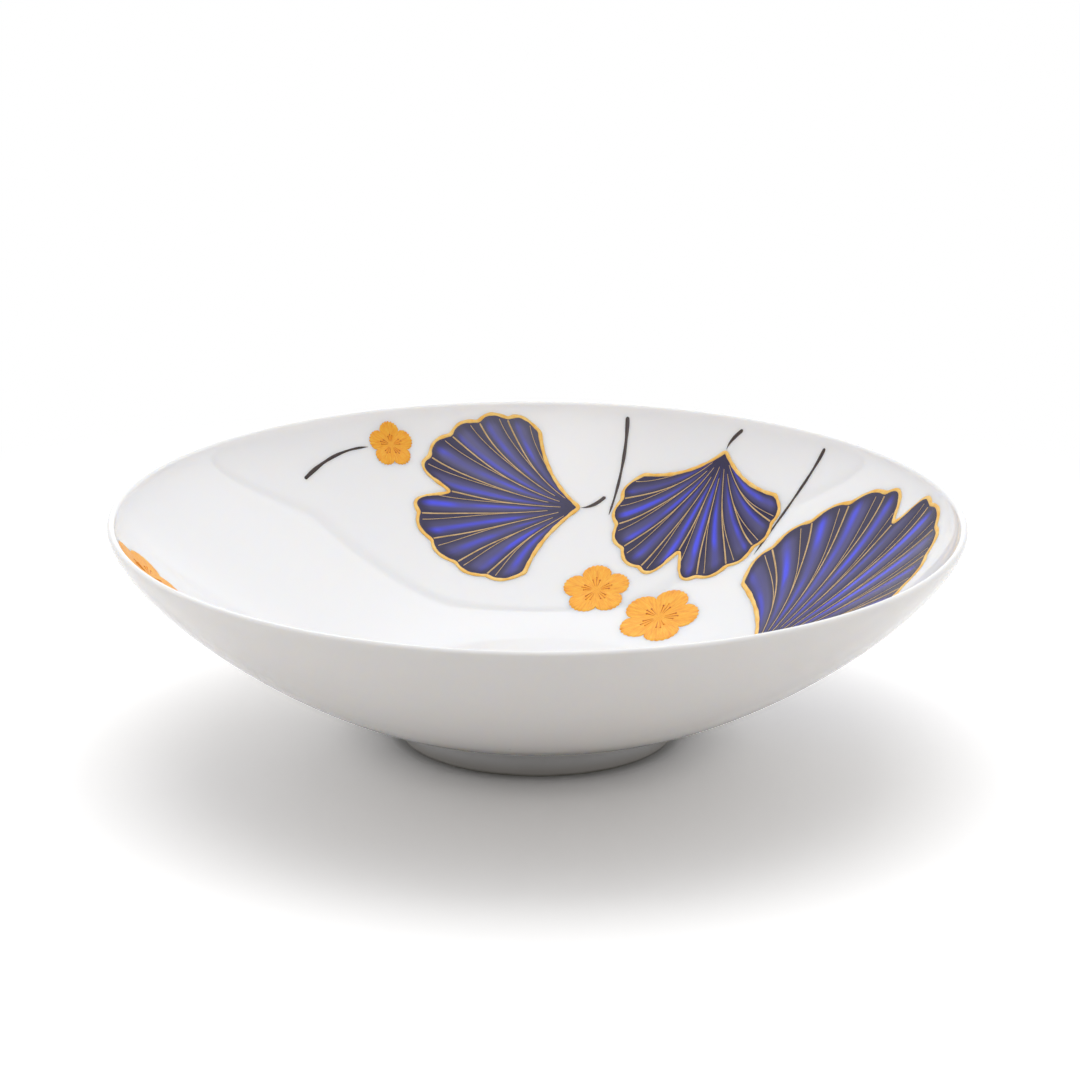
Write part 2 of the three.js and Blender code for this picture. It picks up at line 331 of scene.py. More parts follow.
def turned_points(outline):
    radius = outline[:, 0][:, None]
    height = np.repeat(outline[:, 1][:, None], TURN_SEGMENTS, axis=1)
    return np.stack([radius * np.cos(TURNS), radius * np.sin(TURNS), height], axis=-1)


# Rooms on the rolled-out wall


def room_at_lip(radius, turn):
    way = meridian_length - LIP_MARGIN - radius
    return Room(np.array([way * math.cos(turn), way * math.sin(turn)]), radius)


def room_after(last, radius):
    """The next room along the lip, anticlockwise, one spacing away from the last one."""
    way = meridian_length - LIP_MARGIN - radius
    last_way = np.linalg.norm(last.centre)
    apart = last.radius + ENAMEL_SPACING + radius
    cosine = (way**2 + last_way**2 - apart**2) / (2 * way * last_way)
    last_turn = math.atan2(last.centre[1], last.centre[0])
    return room_at_lip(radius, last_turn + math.acos(cosine))


def room_between(first, second, radius):
    """A room nested between two others, one spacing from each, on the side of the middle."""
    from_first = first.radius + ENAMEL_SPACING + radius
    from_second = second.radius + ENAMEL_SPACING + radius
    across = second.centre - first.centre
    apart = np.linalg.norm(across)
    along = (from_first**2 - from_second**2 + apart**2) / (2 * apart)
    aside = math.sqrt(from_first**2 - along**2)
    direction = across / apart
    inward = np.array([-direction[1], direction[0]])
    return Room(first.centre + direction * along + inward * aside, radius)


def placed(motif, x, y):
    """Points of a motif, given in its own circle with +Y along its axis, on the flat wall."""
    turn = math.radians(motif.turn)
    across = x * math.cos(turn) - y * math.sin(turn)
    along = x * math.sin(turn) + y * math.cos(turn)
    return np.stack([across, along], axis=-1) + motif.room.centre


def placed_round(motif, way, angle):
    return placed(motif, way * np.cos(angle), way * np.sin(angle))


right_room = room_at_lip(RIGHT_LEAF_ROOM, math.radians(RIGHT_LEAF_ANGLE))
middle_room = room_after(right_room, MIDDLE_LEAF_ROOM)
back_room = room_after(middle_room, BACK_LEAF_ROOM)
sprig_room = room_after(back_room, SPRIG_BLOSSOM_ROOM)
left_blossom_room = room_at_lip(LEFT_BLOSSOM_ROOM, math.radians(LEFT_BLOSSOM_ANGLE))
left_room = room_after(left_blossom_room, LEFT_LEAF_ROOM)

Leaf = collections.namedtuple("Leaf", "name room turn bend")
LEAVES = [
    Leaf("right", right_room, -62, 3 * MM),
    Leaf("middle", middle_room, 150, -3 * MM),
    Leaf("back", back_room, 85, 3 * MM),
    Leaf("left", left_room, 60, -2 * MM),
]
Blossom = collections.namedtuple("Blossom", "name room turn")
BLOSSOMS = [
    Blossom("right", room_between(right_room, middle_room, RIGHT_BLOSSOM_ROOM), 20),
    Blossom("back", room_between(middle_room, back_room, BACK_BLOSSOM_ROOM), 50),
    Blossom("left", left_blossom_room, 0),
    Blossom("sprig", sprig_room, 0),
]


# Node helpers


def empty_tree(owner):
    owner.use_nodes = True
    owner.node_tree.nodes.clear()
    return owner.node_tree


def add_node(tree, kind, inputs=None, **settings):
    """A new node. An input is given by name or number, as a value or another node's output."""
    node = tree.nodes.new("ShaderNode" + kind)
    for name, value in settings.items():
        setattr(node, name, value)
    for key, value in (inputs or {}).items():
        socket = node.inputs[key]
        if isinstance(value, bpy.types.NodeSocket):
            tree.links.new(value, socket)
        else:
            socket.default_value = (*value, 1) if socket.type == "RGBA" else value
    return node


def maths(tree, operation, first, second=0.0, third=0.0):
    node = add_node(tree, "Math", {0: first, 1: second, 2: third}, operation=operation)
    return node.outputs[0]


def product(tree, first, second):
    return maths(tree, "MULTIPLY", first, second)


def minus(tree, first, second):
    return maths(tree, "SUBTRACT", first, second)


def between(tree, share, ends):
    """The value between two ends at a share from 0 to 1."""
    return maths(tree, "MULTIPLY_ADD", share, ends[1] - ends[0], ends[0])


def grey(level):
    return (level, level, level)


def ramp_node(tree, value, stops, span=1.0, interpolation="LINEAR"):
    """A colour ramp. The value goes from 0 to 1, and the places of its stops from 0 to the span."""
    node = add_node(tree, "ValToRGB", {0: value})
    ramp = node.color_ramp
    ramp.interpolation = interpolation
    while len(ramp.elements) < len(stops):
        ramp.elements.new(0.5)
    for element, (place, colour) in zip(ramp.elements, stops):
        element.position = place / span
        element.color = (*colour, 1)
    return node.outputs["Color"]


def mix(tree, share, first, second, blend_type="MIX"):
    inputs = {0: share, 6: first, 7: second}
    return add_node(tree, "Mix", inputs, data_type="RGBA", blend_type=blend_type).outputs[2]


def noise(tree, vector, scale, detail=2.0, roughness=0.5):
    inputs = {"Vector": vector, "Scale": scale, "Detail": detail, "Roughness": roughness}
    return add_node(tree, "TexNoise", inputs).outputs["Fac"]


def smooth_share(tree, value, start, end):
    """How far a value has gone from start to end, from 0 to 1, with a soft start and end."""
    inputs = {"Value": value, "From Min": start, "From Max": end}
    node = add_node(tree, "MapRange", inputs, interpolation_type="SMOOTHSTEP")
    return node.outputs["Result"]


def bump(tree, height, distance, normal=None):
    inputs = {"Height": height, "Distance": distance}
    if normal is not None:
        inputs["Normal"] = normal
    return add_node(tree, "Bump", inputs).outputs["Normal"]


def new_shader(name, ior=1.5):
    material = bpy.data.materials.new(name)
    tree = empty_tree(material)
    shader = add_node(tree, "BsdfPrincipled", {"IOR": ior})
    add_node(tree, "OutputMaterial", {"Surface": shader.outputs["BSDF"]})
    return material, tree, shader


def feed(tree, shader, colour, roughness, normal):
    """Links a shader's colour, roughness and normal."""
    for name, value in (("Base Color", colour), ("Roughness", roughness), ("Normal", normal)):
        tree.links.new(value, shader.inputs[name])


def own_place(tree):
    return add_node(tree, "TexCoord").outputs["Object"]


def field_node(tree, name):
    return add_node(tree, "Attribute", attribute_name=name).outputs["Fac"]


def parts_of(tree, vector):
    return add_node(tree, "SeparateXYZ", {"Vector": vector}).outputs


def brush_streaks(tree, stretch, detail, roughness=0.5):
    """A noise on the drawing coordinates, drawn out by their stretch."""
    drawn = add_node(tree, "UVMap", uv_map="drawn").outputs["UV"]
    place = add_node(tree, "Mapping", {"Vector": drawn, "Scale": (*stretch, 1.0)})
    return noise(tree, place.outputs["Vector"], 1.0, detail, roughness)


# Materials. A noise is given by its scale, a roughness or size as a range.

PORCELAIN_WHITE = (0.872, 0.886, 0.912)
PORCELAIN_WARM = (0.888, 0.889, 0.895)
PORCELAIN_PATCHES = 16.0
PORCELAIN_DEPTH = 2.7 * MM
PORCELAIN_DEPTH_TINT = (1.0, 0.91, 0.79)
GLAZE_IOR = 1.52
GLAZE_WAVES = 34.0
GLAZE_WAVE_HEIGHT = 0.07 * MM
GLAZE_SKIN = 500.0
GLAZE_SKIN_HEIGHT = 0.0004 * MM
GLAZE_CLOUDS = 60.0
GLAZE_ROUGHNESS = (0.025, 0.045)
# Painted shade: the colour that the foot's glaze darkens to towards its standing edge, where shade
# falls beside the floor
FOOT_PAINTED_SHADE = (0.60, 0.585, 0.56)
# Painted shade: the bluish tint on the outer wall behind a leaf, standing in for its shadow through
# the thin porcelain, its share, and the core of a leaf's room where it is full
PAINTED_SHOW_THROUGH_SHADE = (0.66, 0.70, 0.82)
PAINTED_SHOW_THROUGH_SHARE = 0.35
PAINTED_SHOW_THROUGH_CORE = 0.55

# Rare specks in the body: one to a cell, and only in the few cells above the rarity
BODY_SPECK = (0.30, 0.25, 0.20)
SPECK_CELLS = 190.0
SPECK_RARITY = 0.985
SPECK_SIZE = (0.02, 0.055)
SPECK_STRENGTH = 0.55

# The bare standing edge
BARE_CLAY = (0.66, 0.64, 0.60)
BARE_CLAY_DARK = (0.52, 0.50, 0.46)
CLAY_GRAIN = 2200.0
CLAY_GRAIN_HEIGHT = 0.04 * MM
CLAY_ROUGHNESS = 0.76
FOOT_GLAZE_ROUGHNESS = 0.10


def glazed_colour(tree, place):
    """White porcelain, slightly uneven, with a few specks in the body."""
    patches = noise(tree, place, PORCELAIN_PATCHES, detail=3.0)
    colour = mix(tree, patches, PORCELAIN_WHITE, PORCELAIN_WARM)
    cells = add_node(tree, "TexVoronoi", {"Vector": place, "Scale": SPECK_CELLS})
    chance = add_node(tree, "SeparateColor", {"Color": cells.outputs["Color"]}).outputs
    chosen = maths(tree, "GREATER_THAN", chance[0], SPECK_RARITY)
    near = maths(tree, "LESS_THAN", cells.outputs["Distance"], between(tree, chance[1], SPECK_SIZE))
    speck = product(tree, product(tree, chosen, near), SPECK_STRENGTH)
    return mix(tree, speck, colour, BODY_SPECK)


def white_glaze():
    """The bowl: slow waves of a hand-finished wall under the fine skin of the glaze.

    Light passes a little way through the wall. Where a leaf lies inside, the outer wall's colour
    gets a painted bluish shade, standing in for the leaf's shadow seen through the wall.
    """
    material, tree, shader = new_shader("white_glaze", GLAZE_IOR)
    place = own_place(tree)
    behind = field_node(tree, "show_through_shade_mask")
    # Painted shade of the leaves seen through the wall, mixed into the glaze's colour
    shown = product(tree, behind, PAINTED_SHOW_THROUGH_SHARE)
    colour = mix(tree, shown, glazed_colour(tree, place), PAINTED_SHOW_THROUGH_SHADE)
    relief = bump(tree, noise(tree, place, GLAZE_WAVES, detail=1.0), GLAZE_WAVE_HEIGHT)
    skin = noise(tree, place, GLAZE_SKIN, detail=1.0)
    relief = bump(tree, skin, GLAZE_SKIN_HEIGHT, relief)
    clouds = noise(tree, place, GLAZE_CLOUDS)
    feed(tree, shader, colour, between(tree, clouds, GLAZE_ROUGHNESS), relief)
    height = parts_of(tree, place)[2]
    stub_top = FOOT_RING_HEIGHT + STUB_HEIGHT
    above_stub = smooth_share(tree, height, stub_top, stub_top + STUB_FILLET)
    tree.links.new(above_stub, shader.inputs["Subsurface Weight"])
    shader.inputs["Subsurface Scale"].default_value = PORCELAIN_DEPTH
    shader.inputs["Subsurface Radius"].default_value = PORCELAIN_DEPTH_TINT
    return material


def foot_porcelain():
    """Glaze on the ring's sides, darkened downwards by painted shade, and bare clay on its lower
    edge.
    """
    material, tree, shader = new_shader("foot_porcelain")
    place = own_place(tree)
    glazed = field_node(tree, "glazed")
    grain = noise(tree, place, CLAY_GRAIN, detail=3.0, roughness=0.65)
    clay = mix(tree, grain, BARE_CLAY_DARK, BARE_CLAY)
    height = parts_of(tree, place)[2]
    # Painted shade, darkest at the standing edge
    thin = smooth_share(tree, height, FOOT_RING_HEIGHT, GLAZE_END)
    glaze = mix(tree, thin, glazed_colour(tree, place), FOOT_PAINTED_SHADE)
    bare = minus(tree, 1.0, glazed)
    relief = bump(tree, product(tree, grain, bare), CLAY_GRAIN_HEIGHT)
    roughness = between(tree, glazed, (CLAY_ROUGHNESS, FOOT_GLAZE_ROUGHNESS))
    feed(tree, shader, mix(tree, glazed, clay, glaze), roughness, relief)
    return material


NAVY = (0.028, 0.022, 0.072)
SLATE_GREY = (0.090, 0.080, 0.150)
SLATE_VIOLET = (0.078, 0.072, 0.290)
ULTRAMARINE = (0.072, 0.084, 0.93)

# The wash of a lobe: its brushwork, its rise across the lobe and from the base, its fall at the
# tip, its own strength and grain, and the levels between which it covers the navy
FINE_STRETCH = (7.0, 2.0)
BROAD_STRETCH = (1.3, 1.7)
LOBE_CREST_POWER = 0.9
BASE_RISE = 2.2
TIP_FALL = 11.0
LOBE_STRENGTH = (0.62, 0.97)
WASH_GRAIN = 0.35
WASH_OFFSET = -0.17
WASH_COVER = (0.1, 0.9)
COBALT_ROUGHNESS = (0.1, 0.32)

# The ultramarine streak in a lobe: its place across, and its strength along it and by lobe
STREAK_PLACE = (0.48, 0.78)
STREAK_HALF_WIDTH = 0.26
STREAK_BREAKS = (0.38, 0.62)
BREAK_STRETCH = (0.9, 2.6)
STREAK_ALONG = (0.2, 1.1)
STREAK_BY_LOBE = (0.65, 1.35)


def cobalt_enamel():
    """Navy along the edges of the lobes, and a slate or ultramarine wash within.

    The drawing coordinates count the lobes along one axis and give the reach along the other.
    """
    material, tree, shader = new_shader("cobalt_enamel")
    drawn = add_node(tree, "UVMap", uv_map="drawn").outputs["UV"]
    lobe_place, reach, _ = parts_of(tree, drawn)
    lobe_number = maths(tree, "FLOOR", lobe_place)
    own = add_node(tree, "TexWhiteNoise", {"W": lobe_number}, noise_dimensions="1D")
    chances = add_node(tree, "SeparateColor", {"Color": own.outputs["Color"]}).outputs
    fine = brush_streaks(tree, FINE_STRETCH, detail=5.0, roughness=0.6)
    broad = brush_streaks(tree, BROAD_STRETCH, detail=2.0)
    breaks = brush_streaks(tree, BREAK_STRETCH, detail=1.0)

    # The place across the lobe, from 0 at the fork to 1 at the next valley
    fork = product(tree, smooth_share(tree, reach, *FORK_RANGE), FORK_SHARE)
    inside = minus(tree, maths(tree, "FRACT", lobe_place), fork)
    inside = maths(tree, "DIVIDE", inside, minus(tree, 1.0, fork))
    inside = maths(tree, "MAXIMUM", inside, 0.0)

    crest = maths(tree, "SINE", product(tree, inside, math.pi))
    crest = maths(tree, "POWER", maths(tree, "MAXIMUM", crest, 0.0), LOBE_CREST_POWER)
    rise = maths(tree, "SMOOTH_MIN", product(tree, reach, BASE_RISE), 1.0, 0.4)
    tip = product(tree, minus(tree, 1.0, reach), TIP_FALL)
    tip = maths(tree, "SMOOTH_MIN", tip, 1.0, 0.3)
    level = product(tree, crest, product(tree, rise, tip))
    level = product(tree, level, between(tree, chances[0], LOBE_STRENGTH))
    level = maths(tree, "ADD", level, WASH_OFFSET)
    level = maths(tree, "MULTIPLY_ADD", fine, WASH_GRAIN, level)
    cover = smooth_share(tree, level, *WASH_COVER)

    streak_place = between(tree, chances[1], STREAK_PLACE)
    aside = maths(tree, "ABSOLUTE", minus(tree, inside, streak_place))
    streak = smooth_share(tree, aside, STREAK_HALF_WIDTH, 0.0)
    along = smooth_share(tree, breaks, *STREAK_BREAKS)
    streak = product(tree, streak, between(tree, along, STREAK_ALONG))
    streak = product(tree, streak, between(tree, chances[2], STREAK_BY_LOBE))
    wash = mix(tree, broad, SLATE_GREY, SLATE_VIOLET)
    wash = mix(tree, maths(tree, "MINIMUM", streak, 1.0), wash, ULTRAMARINE)
    colour = mix(tree, cover, NAVY, wash)
    feed(tree, shader, colour, between(tree, fine, COBALT_ROUGHNESS), bump(tree, fine, FINE_RELIEF))
    return material


# Brushed and drawn enamels. A colour's place is the level of the noise where it stands.
FINE_RELIEF = 0.03 * MM
AMBER_RELIEF = 0.06 * MM
AMBER_ROUGHNESS = (0.22, 0.47)
LINE_ROUGHNESS = (0.2, 0.5)
AMBER_DEEP = (0.88, 0.285, 0.006)
AMBER = (1.0, 0.425, 0.012)
AMBER_LIGHT = (1.0, 0.56, 0.05)
AMBER_LINE = (0.62, 0.14, 0.006)
GOLD_FULL = (0.95, 0.50, 0.07)
GOLD_THIN = (1.0, 0.66, 0.20)
VEIN_FULL = (0.56, 0.36, 0.14)
VEIN_THIN = (0.74, 0.50, 0.24)
LINE_BROWN = (0.030, 0.018, 0.017)
LINE_THIN = (0.085, 0.055, 0.048)
AMBER_STOPS = [(0.34, AMBER_DEEP), (0.50, AMBER), (0.66, AMBER_LIGHT)]
BROWN_STOPS = [(0.40, LINE_BROWN), (0.72, LINE_THIN)]
FULL_PLACE = 0.36
THIN_PLACE = 0.60
AMBER_LINE_PATCHES = 500.0
GOLD_PATCHES = 420.0


def streaked_enamel(name, stretch, detail, grain, stops, roughness, relief):
    material, tree, shader = new_shader(name)
    streaks = brush_streaks(tree, stretch, detail, grain)
    colour = ramp_node(tree, streaks, stops)
    feed(tree, shader, colour, between(tree, streaks, roughness), bump(tree, streaks, relief))
    return material


def amber_enamel():
    """Brushed from the blossom's heart outwards, with streaks along the petals."""
    return streaked_enamel(
        "amber_enamel", (6.0, 2.6), 6.0, 0.65, AMBER_STOPS, AMBER_ROUGHNESS, AMBER_RELIEF)


def dark_line_enamel():
    """A loaded brush: darkest where the line is full, lighter in dry streaks."""
    return streaked_enamel(
        "dark_line_enamel", (0.35, 4.0), 4.0, 0.6, BROWN_STOPS, LINE_ROUGHNESS, FINE_RELIEF)


def line_enamel(name, full, thin, patch_scale, vein_full=None, vein_thin=None):
    """Enamel of a drawn line, fuller in some places than in others, and paler in veins."""
    material, tree, shader = new_shader(name)
    place = own_place(tree)
    patches = noise(tree, place, patch_scale, detail=4.0, roughness=0.6)
    colour = ramp_node(tree, patches, [(FULL_PLACE, full), (THIN_PLACE, thin)])
    if vein_full:
        vein = field_node(tree, "vein")
        paler = ramp_node(tree, patches, [(FULL_PLACE, vein_full), (THIN_PLACE, vein_thin)])
        colour = mix(tree, vein, colour, paler)
    roughness = between(tree, patches, LINE_ROUGHNESS)
    feed(tree, shader, colour, roughness, bump(tree, patches, FINE_RELIEF))
    return material


# Porcelain


# The mask of the painted show-through shade on the outer wall
def show_through_shade_mask(way):
    """How much of a leaf lies behind a point of the outer wall, from 0 to 1."""
    flat = np.stack([way[:, None] * np.cos(TURNS), way[:, None] * np.sin(TURNS)], axis=-1)
    behind = np.zeros(flat.shape[:2])
    for leaf in LEAVES:
        distance = np.linalg.norm(flat - leaf.room.centre, axis=-1)
        core = PAINTED_SHOW_THROUGH_CORE * leaf.room.radius
        behind = np.maximum(behind, 1 - smooth_step(distance, core, leaf.room.radius))
    return behind


def make_bowl(material):
    lip_centre = (RIM_RADIUS - LIP_THICKNESS / 2, wall_top[1])
    recess_centre = (FOOT_INNER - RECESS_FILLET, recess_top - RECESS_FILLET)
    wall_shares = np.linspace(0, 1, WALL_STEPS + 1)
    floor_shares = np.linspace(0, 1, FLOOR_STEPS + 1)
    recess_radii = np.linspace(0, recess_centre[0], FLOOR_STEPS)[1:-1]
    under = np.vstack([
        [(radius, recess_top) for radius in recess_radii],
        arc_points(recess_centre, RECESS_FILLET, 90, 0, FILLET_STEPS),
        [(FOOT_INNER, FOOT_RING_HEIGHT), (FOOT_RADIUS, FOOT_RING_HEIGHT)],
        arc_points(fillet_centre, STUB_FILLET, 180, 90 + WALL_START_ANGLE, FILLET_STEPS),
    ])
    outside = bezier(OUTER_WALL, wall_shares[1:])[0]
    lip = arc_points(lip_centre, LIP_THICKNESS / 2, 0, 180, LIP_STEPS)[1:-1]
    floor = bezier(FLOOR_CURVE, floor_shares)[0]
    inside = np.vstack([inner_wall(wall_shares)[::-1], floor[::-1][1:-1]])
    outline = np.vstack([under, outside, lip, inside])
    rings = turned_points(outline)
    count = len(outline) * TURN_SEGMENTS
    vertices = np.vstack([rings.reshape(-1, 3), [(0, 0, recess_top), (0, 0, floor_top)]])
    faces = grid_faces(len(outline), TURN_SEGMENTS, wrap_columns=True)
    last_ring = count - TURN_SEGMENTS
    for segment in range(TURN_SEGMENTS):
        onward = (segment + 1) % TURN_SEGMENTS
        faces.append((count, onward, segment))
        faces.append((count + 1, last_ring + segment, last_ring + onward))
    # Mask of the painted show-through shade, on the outer wall's rows
    behind = np.zeros((len(outline), TURN_SEGMENTS))
    first = len(under)
    way = np.interp(wall_shares[1:], EVEN_SHARES, wall_way)
    behind[first:first + WALL_STEPS] = show_through_shade_mask(way)
    fields = {"show_through_shade_mask": np.concatenate([behind.ravel(), [0, 0]])}
    solid = vertices, faces, None
    make_piece("glazed_bowl", solid, material, "bowl_shell", fields)


def make_foot(material):
    heights = np.linspace(FOOT_RING_HEIGHT, FOOT_EDGE_ROUND, SIDE_STEPS, endpoint=False)
    edge_steps = 3 * FILLET_STEPS
    inner_centre = (FOOT_INNER + FOOT_EDGE_ROUND, FOOT_EDGE_ROUND)
    outer_centre = (FOOT_RADIUS - FOOT_EDGE_ROUND, FOOT_EDGE_ROUND)
    outline = np.vstack([
        [(FOOT_INNER, height) for height in heights],
        arc_points(inner_centre, FOOT_EDGE_ROUND, 180, 270, edge_steps),
        arc_points(outer_centre, FOOT_EDGE_ROUND, 270, 360, edge_steps),
        [(FOOT_RADIUS, height) for height in heights[::-1]],
    ])
    rings = turned_points(outline)
    line = GLAZE_END + GLAZE_END_WANDER * waves(TURNS, GLAZE_END_WAVES)
    height = rings[..., 2]
    glazed = smooth_step(height, line - GLAZE_STEP_HEIGHT / 2, line + GLAZE_STEP_HEIGHT / 2)
    middle = FOOT_RADIUS - FOOT_RING_WIDTH / 2
    radius = np.hypot(rings[..., 0], rings[..., 1])
    inset = GLAZE_STEP * (1 - glazed) * np.sign(radius - middle)
    inset *= smooth_step(np.abs(radius - middle), 0, FOOT_RING_WIDTH / 2)
    rings[..., 0] -= inset * np.cos(TURNS)
    rings[..., 1] -= inset * np.sin(TURNS)
    faces = grid_faces(len(outline), TURN_SEGMENTS, wrap_rows=True, wrap_columns=True)
    solid = rings.reshape(-1, 3), faces, None
    fields = {"glazed": glazed.ravel()}
    make_piece("fired_foot_ring", solid, material, "foot_ring", fields)


# Enamel


def enamel_solid(flat, raised, uv, closed):
    """Vertices, faces and drawing coordinates of a thin solid on the wall, from a grid.

    A closed grid runs round its first point. An open one has four sides.
    """
    rows, columns = flat.shape[:2]
    count = rows * columns
    under = np.full(raised.shape, -ENAMEL_SINK)
    vertices = [on_wall(flat, above).reshape(-1, 3) for above in (raised, under)]
    drawing = [uv.reshape(-1, 2)] * 2
    faces = grid_faces(rows, columns, wrap_columns=closed)
    faces += [face[::-1] for face in grid_faces(rows, columns, wrap_columns=closed, start=count)]
    index = np.arange(count).reshape(rows, columns)
    if closed:
        border = index[-1]
        for column in range(columns):
            onward = (column + 1) % columns
            faces.append((2 * count, onward, column))
            faces.append((2 * count + 1, count + column, count + onward))
        middle = flat[0].mean(axis=0)
        peak = on_wall(middle, raised[0].mean())
        bottom = on_wall(middle, -ENAMEL_SINK)
        vertices.append([peak, bottom])
        drawing.append([uv[0].mean(axis=0)] * 2)
    else:
        border = np.concatenate([index[0], index[1:, -1], index[-1, -2::-1], index[-2:0:-1, 0]])
    for here, onward in zip(border.tolist(), np.roll(border, -1).tolist()):
        faces.append((here, onward, onward + count, here + count))
    return np.vstack(vertices), faces, np.vstack(drawing)


def edge_profile(distance):
    """Share of the full relief at a distance from the enamel's edge, rounded like a bead."""
    share = 1 - np.clip(distance / ENAMEL_EDGE, 0, 1)
    return np.sqrt(1 - share**2)


def leaf_length(room, across):
    base_below = room.radius * FAN_BASE_SHARE
    side = 2 * across - 1
    spread = np.radians(FAN_HALF_ANGLE * side)
    half_chord = np.sqrt(room.radius**2 - (base_below * np.sin(spread))**2)
    to_circle = base_below * np.cos(spread) + half_chord
    scallop = SCALLOP_DEPTH * (1 - np.abs(np.sin(np.pi * LEAF_LOBES * across)))
    notch = NOTCH_DEPTH * np.exp(-(FAN_HALF_ANGLE * side / NOTCH_HALF_ANGLE)**2)
    shoulder = SHOULDER_DROP * to_circle * side**SHOULDER_SHARPNESS
    return to_circle - scallop - notch - shoulder


def leaf_angle(reach, across):
    spread = np.radians(FAN_HALF_ANGLE * (2 * across - 1))
    return spread * (BASE_SPREAD_SHARE + (1 - BASE_SPREAD_SHARE) * reach)


def leaf_point(leaf, reach, across):
    length = leaf_length(leaf.room, across)
    angle = leaf_angle(reach, across)
    x = -reach * length * np.sin(angle)
    y = reach * length * np.cos(angle) - leaf.room.radius * FAN_BASE_SHARE
    return placed(leaf, x, y)


def make_leaf(leaf, number, material):
    even = np.linspace(0, 1, LEAF_ROWS)
    crowded = (1 - END_CROWDING) * even + END_CROWDING * (1 - np.cos(np.pi * even)) / 2
    reach = LEAF_BASE_REACH + (1 - LEAF_BASE_REACH) * crowded
    across = np.linspace(0, 1, LEAF_LOBES * COLUMNS_PER_LOBE + 1)
    reach, across = np.meshgrid(reach, across, indexing="ij")
    flat = leaf_point(leaf, reach, across)
    length = leaf_length(leaf.room, across)
    angle = leaf_angle(reach, across)
    side_angle = leaf_angle(reach, 1.0) - np.abs(angle)
    distance = np.minimum((1 - reach) * length, reach * length * np.sin(side_angle))
    lobe = np.sin(np.pi * LEAF_LOBES * across)**2
    fullness = smooth_step(reach, 0.05, 0.5)
    raised = edge_profile(distance) * (ENAMEL_RISE + LOBE_RISE * lobe * fullness)
    lobe_place = number * 2 * LEAF_LOBES + across * LEAF_LOBES
    uv = np.stack([lobe_place, reach], axis=-1)
    solid = enamel_solid(flat, raised, uv, closed=False)
    make_piece(f"{leaf.name}_leaf_enamel", solid, material, f"{leaf.name}_leaf")


def evenly(path, closed=False):
    """The same path with even steps."""
    if closed:
        path = np.vstack([path, path[:1]])
    way = way_along(path)
    count = max(8, int(way[-1] / STROKE_STEP))
    places = np.linspace(0, way[-1], count, endpoint=not closed)
    return np.column_stack([np.interp(places, way, path[:, axis]) for axis in (0, 1)])


def softened(path, spread):
    """A closed path with its corners rounded by a moving average."""
    reach = int(3 * spread / STROKE_STEP)
    weights = np.exp(-0.5 * (np.arange(-reach, reach + 1) * STROKE_STEP / spread)**2)
    weights /= weights.sum()
    padded = np.vstack([path[-reach:], path, path[:reach]])
    return np.column_stack([np.convolve(padded[:, axis], weights, mode="valid") for axis in (0, 1)])


def stroke_solid(path, widths, crown, closed=False):
    """Vertices, faces and drawing coordinates of a raised line that lies on the wall."""
    if closed:
        ahead = np.roll(path, -1, axis=0) - np.roll(path, 1, axis=0)
    else:
        ahead = np.gradient(path, axis=0)
    ahead /= np.linalg.norm(ahead, axis=1)[:, None]
    aside = np.column_stack([-ahead[:, 1], ahead[:, 0]])
    round_way = np.linspace(np.pi, 0, STROKE_SECTION)
    offsets = np.concatenate([np.cos(round_way), [1, -1]])
    lifts = np.concatenate([crown * np.sin(round_way), [-ENAMEL_SINK, -ENAMEL_SINK]])
    fullness = np.clip(widths / widths.max(), 0, 1)[:, None]
    raised = np.where(lifts > 0, lifts * fullness, lifts)
    steps_aside = offsets[None, :] * widths[:, None] / 2
    flat = path[:, None, :] + aside[:, None, :] * steps_aside[..., None]
    rows, columns = flat.shape[:2]
    vertices = on_wall(flat, raised).reshape(-1, 3)
    faces = grid_faces(rows, columns, wrap_rows=closed, wrap_columns=True)
    if not closed:
        faces.append(tuple(range(columns)))
        faces.append(tuple(range((rows - 1) * columns, rows * columns))[::-1])
    along = np.repeat(np.arange(rows)[:, None] * STROKE_STEP / MM, columns, axis=1)
    across = np.repeat((offsets[None, :] + 1) / 2, rows, axis=0)
    return vertices, faces, np.stack([along, across], axis=-1).reshape(-1, 2)


def joined(solids):
    """Several solids as one list of vertices, faces and drawing coordinates."""
    vertices, faces, drawings = [], [], []
    start = 0
    for points, polygons, drawing in solids:
        vertices.append(points)
        drawings.append(drawing)
        faces += [tuple(start + index for index in polygon) for polygon in polygons]
        start += len(points)
    return np.vstack(vertices), faces, np.vstack(drawings)


def tapered(path, start_width, end_width):
    """Widths along an open path, round at the broader end and drawn to a point at the other."""
    way = way_along(path)
    widths = start_width + (end_width - start_width) * way / way[-1]
    narrow, broad = (way, way[-1] - way) if start_width < end_width else (way[-1] - way, way)
    share = 1 - np.clip(broad / (widths / 2), 0, 1)
    widths = widths * np.maximum(np.sqrt(1 - share**2), LEAST_WIDTH_SHARE)
    tip_length = BRUSH_TIP_LENGTH * min(start_width, end_width)
    return widths * np.maximum(np.clip(narrow / tip_length, 0, 1)**0.6, LEAST_WIDTH_SHARE)


def drawn_across(leaf, reaches, across_at, widths):
    """A gold line up a leaf between two reaches. Its place across depends on the reach."""
    share = np.linspace(*reaches, 160)
    path = evenly(leaf_point(leaf, share, across_at(share)))
    return stroke_solid(path, tapered(path, *widths), GOLD_VEIN_RISE)


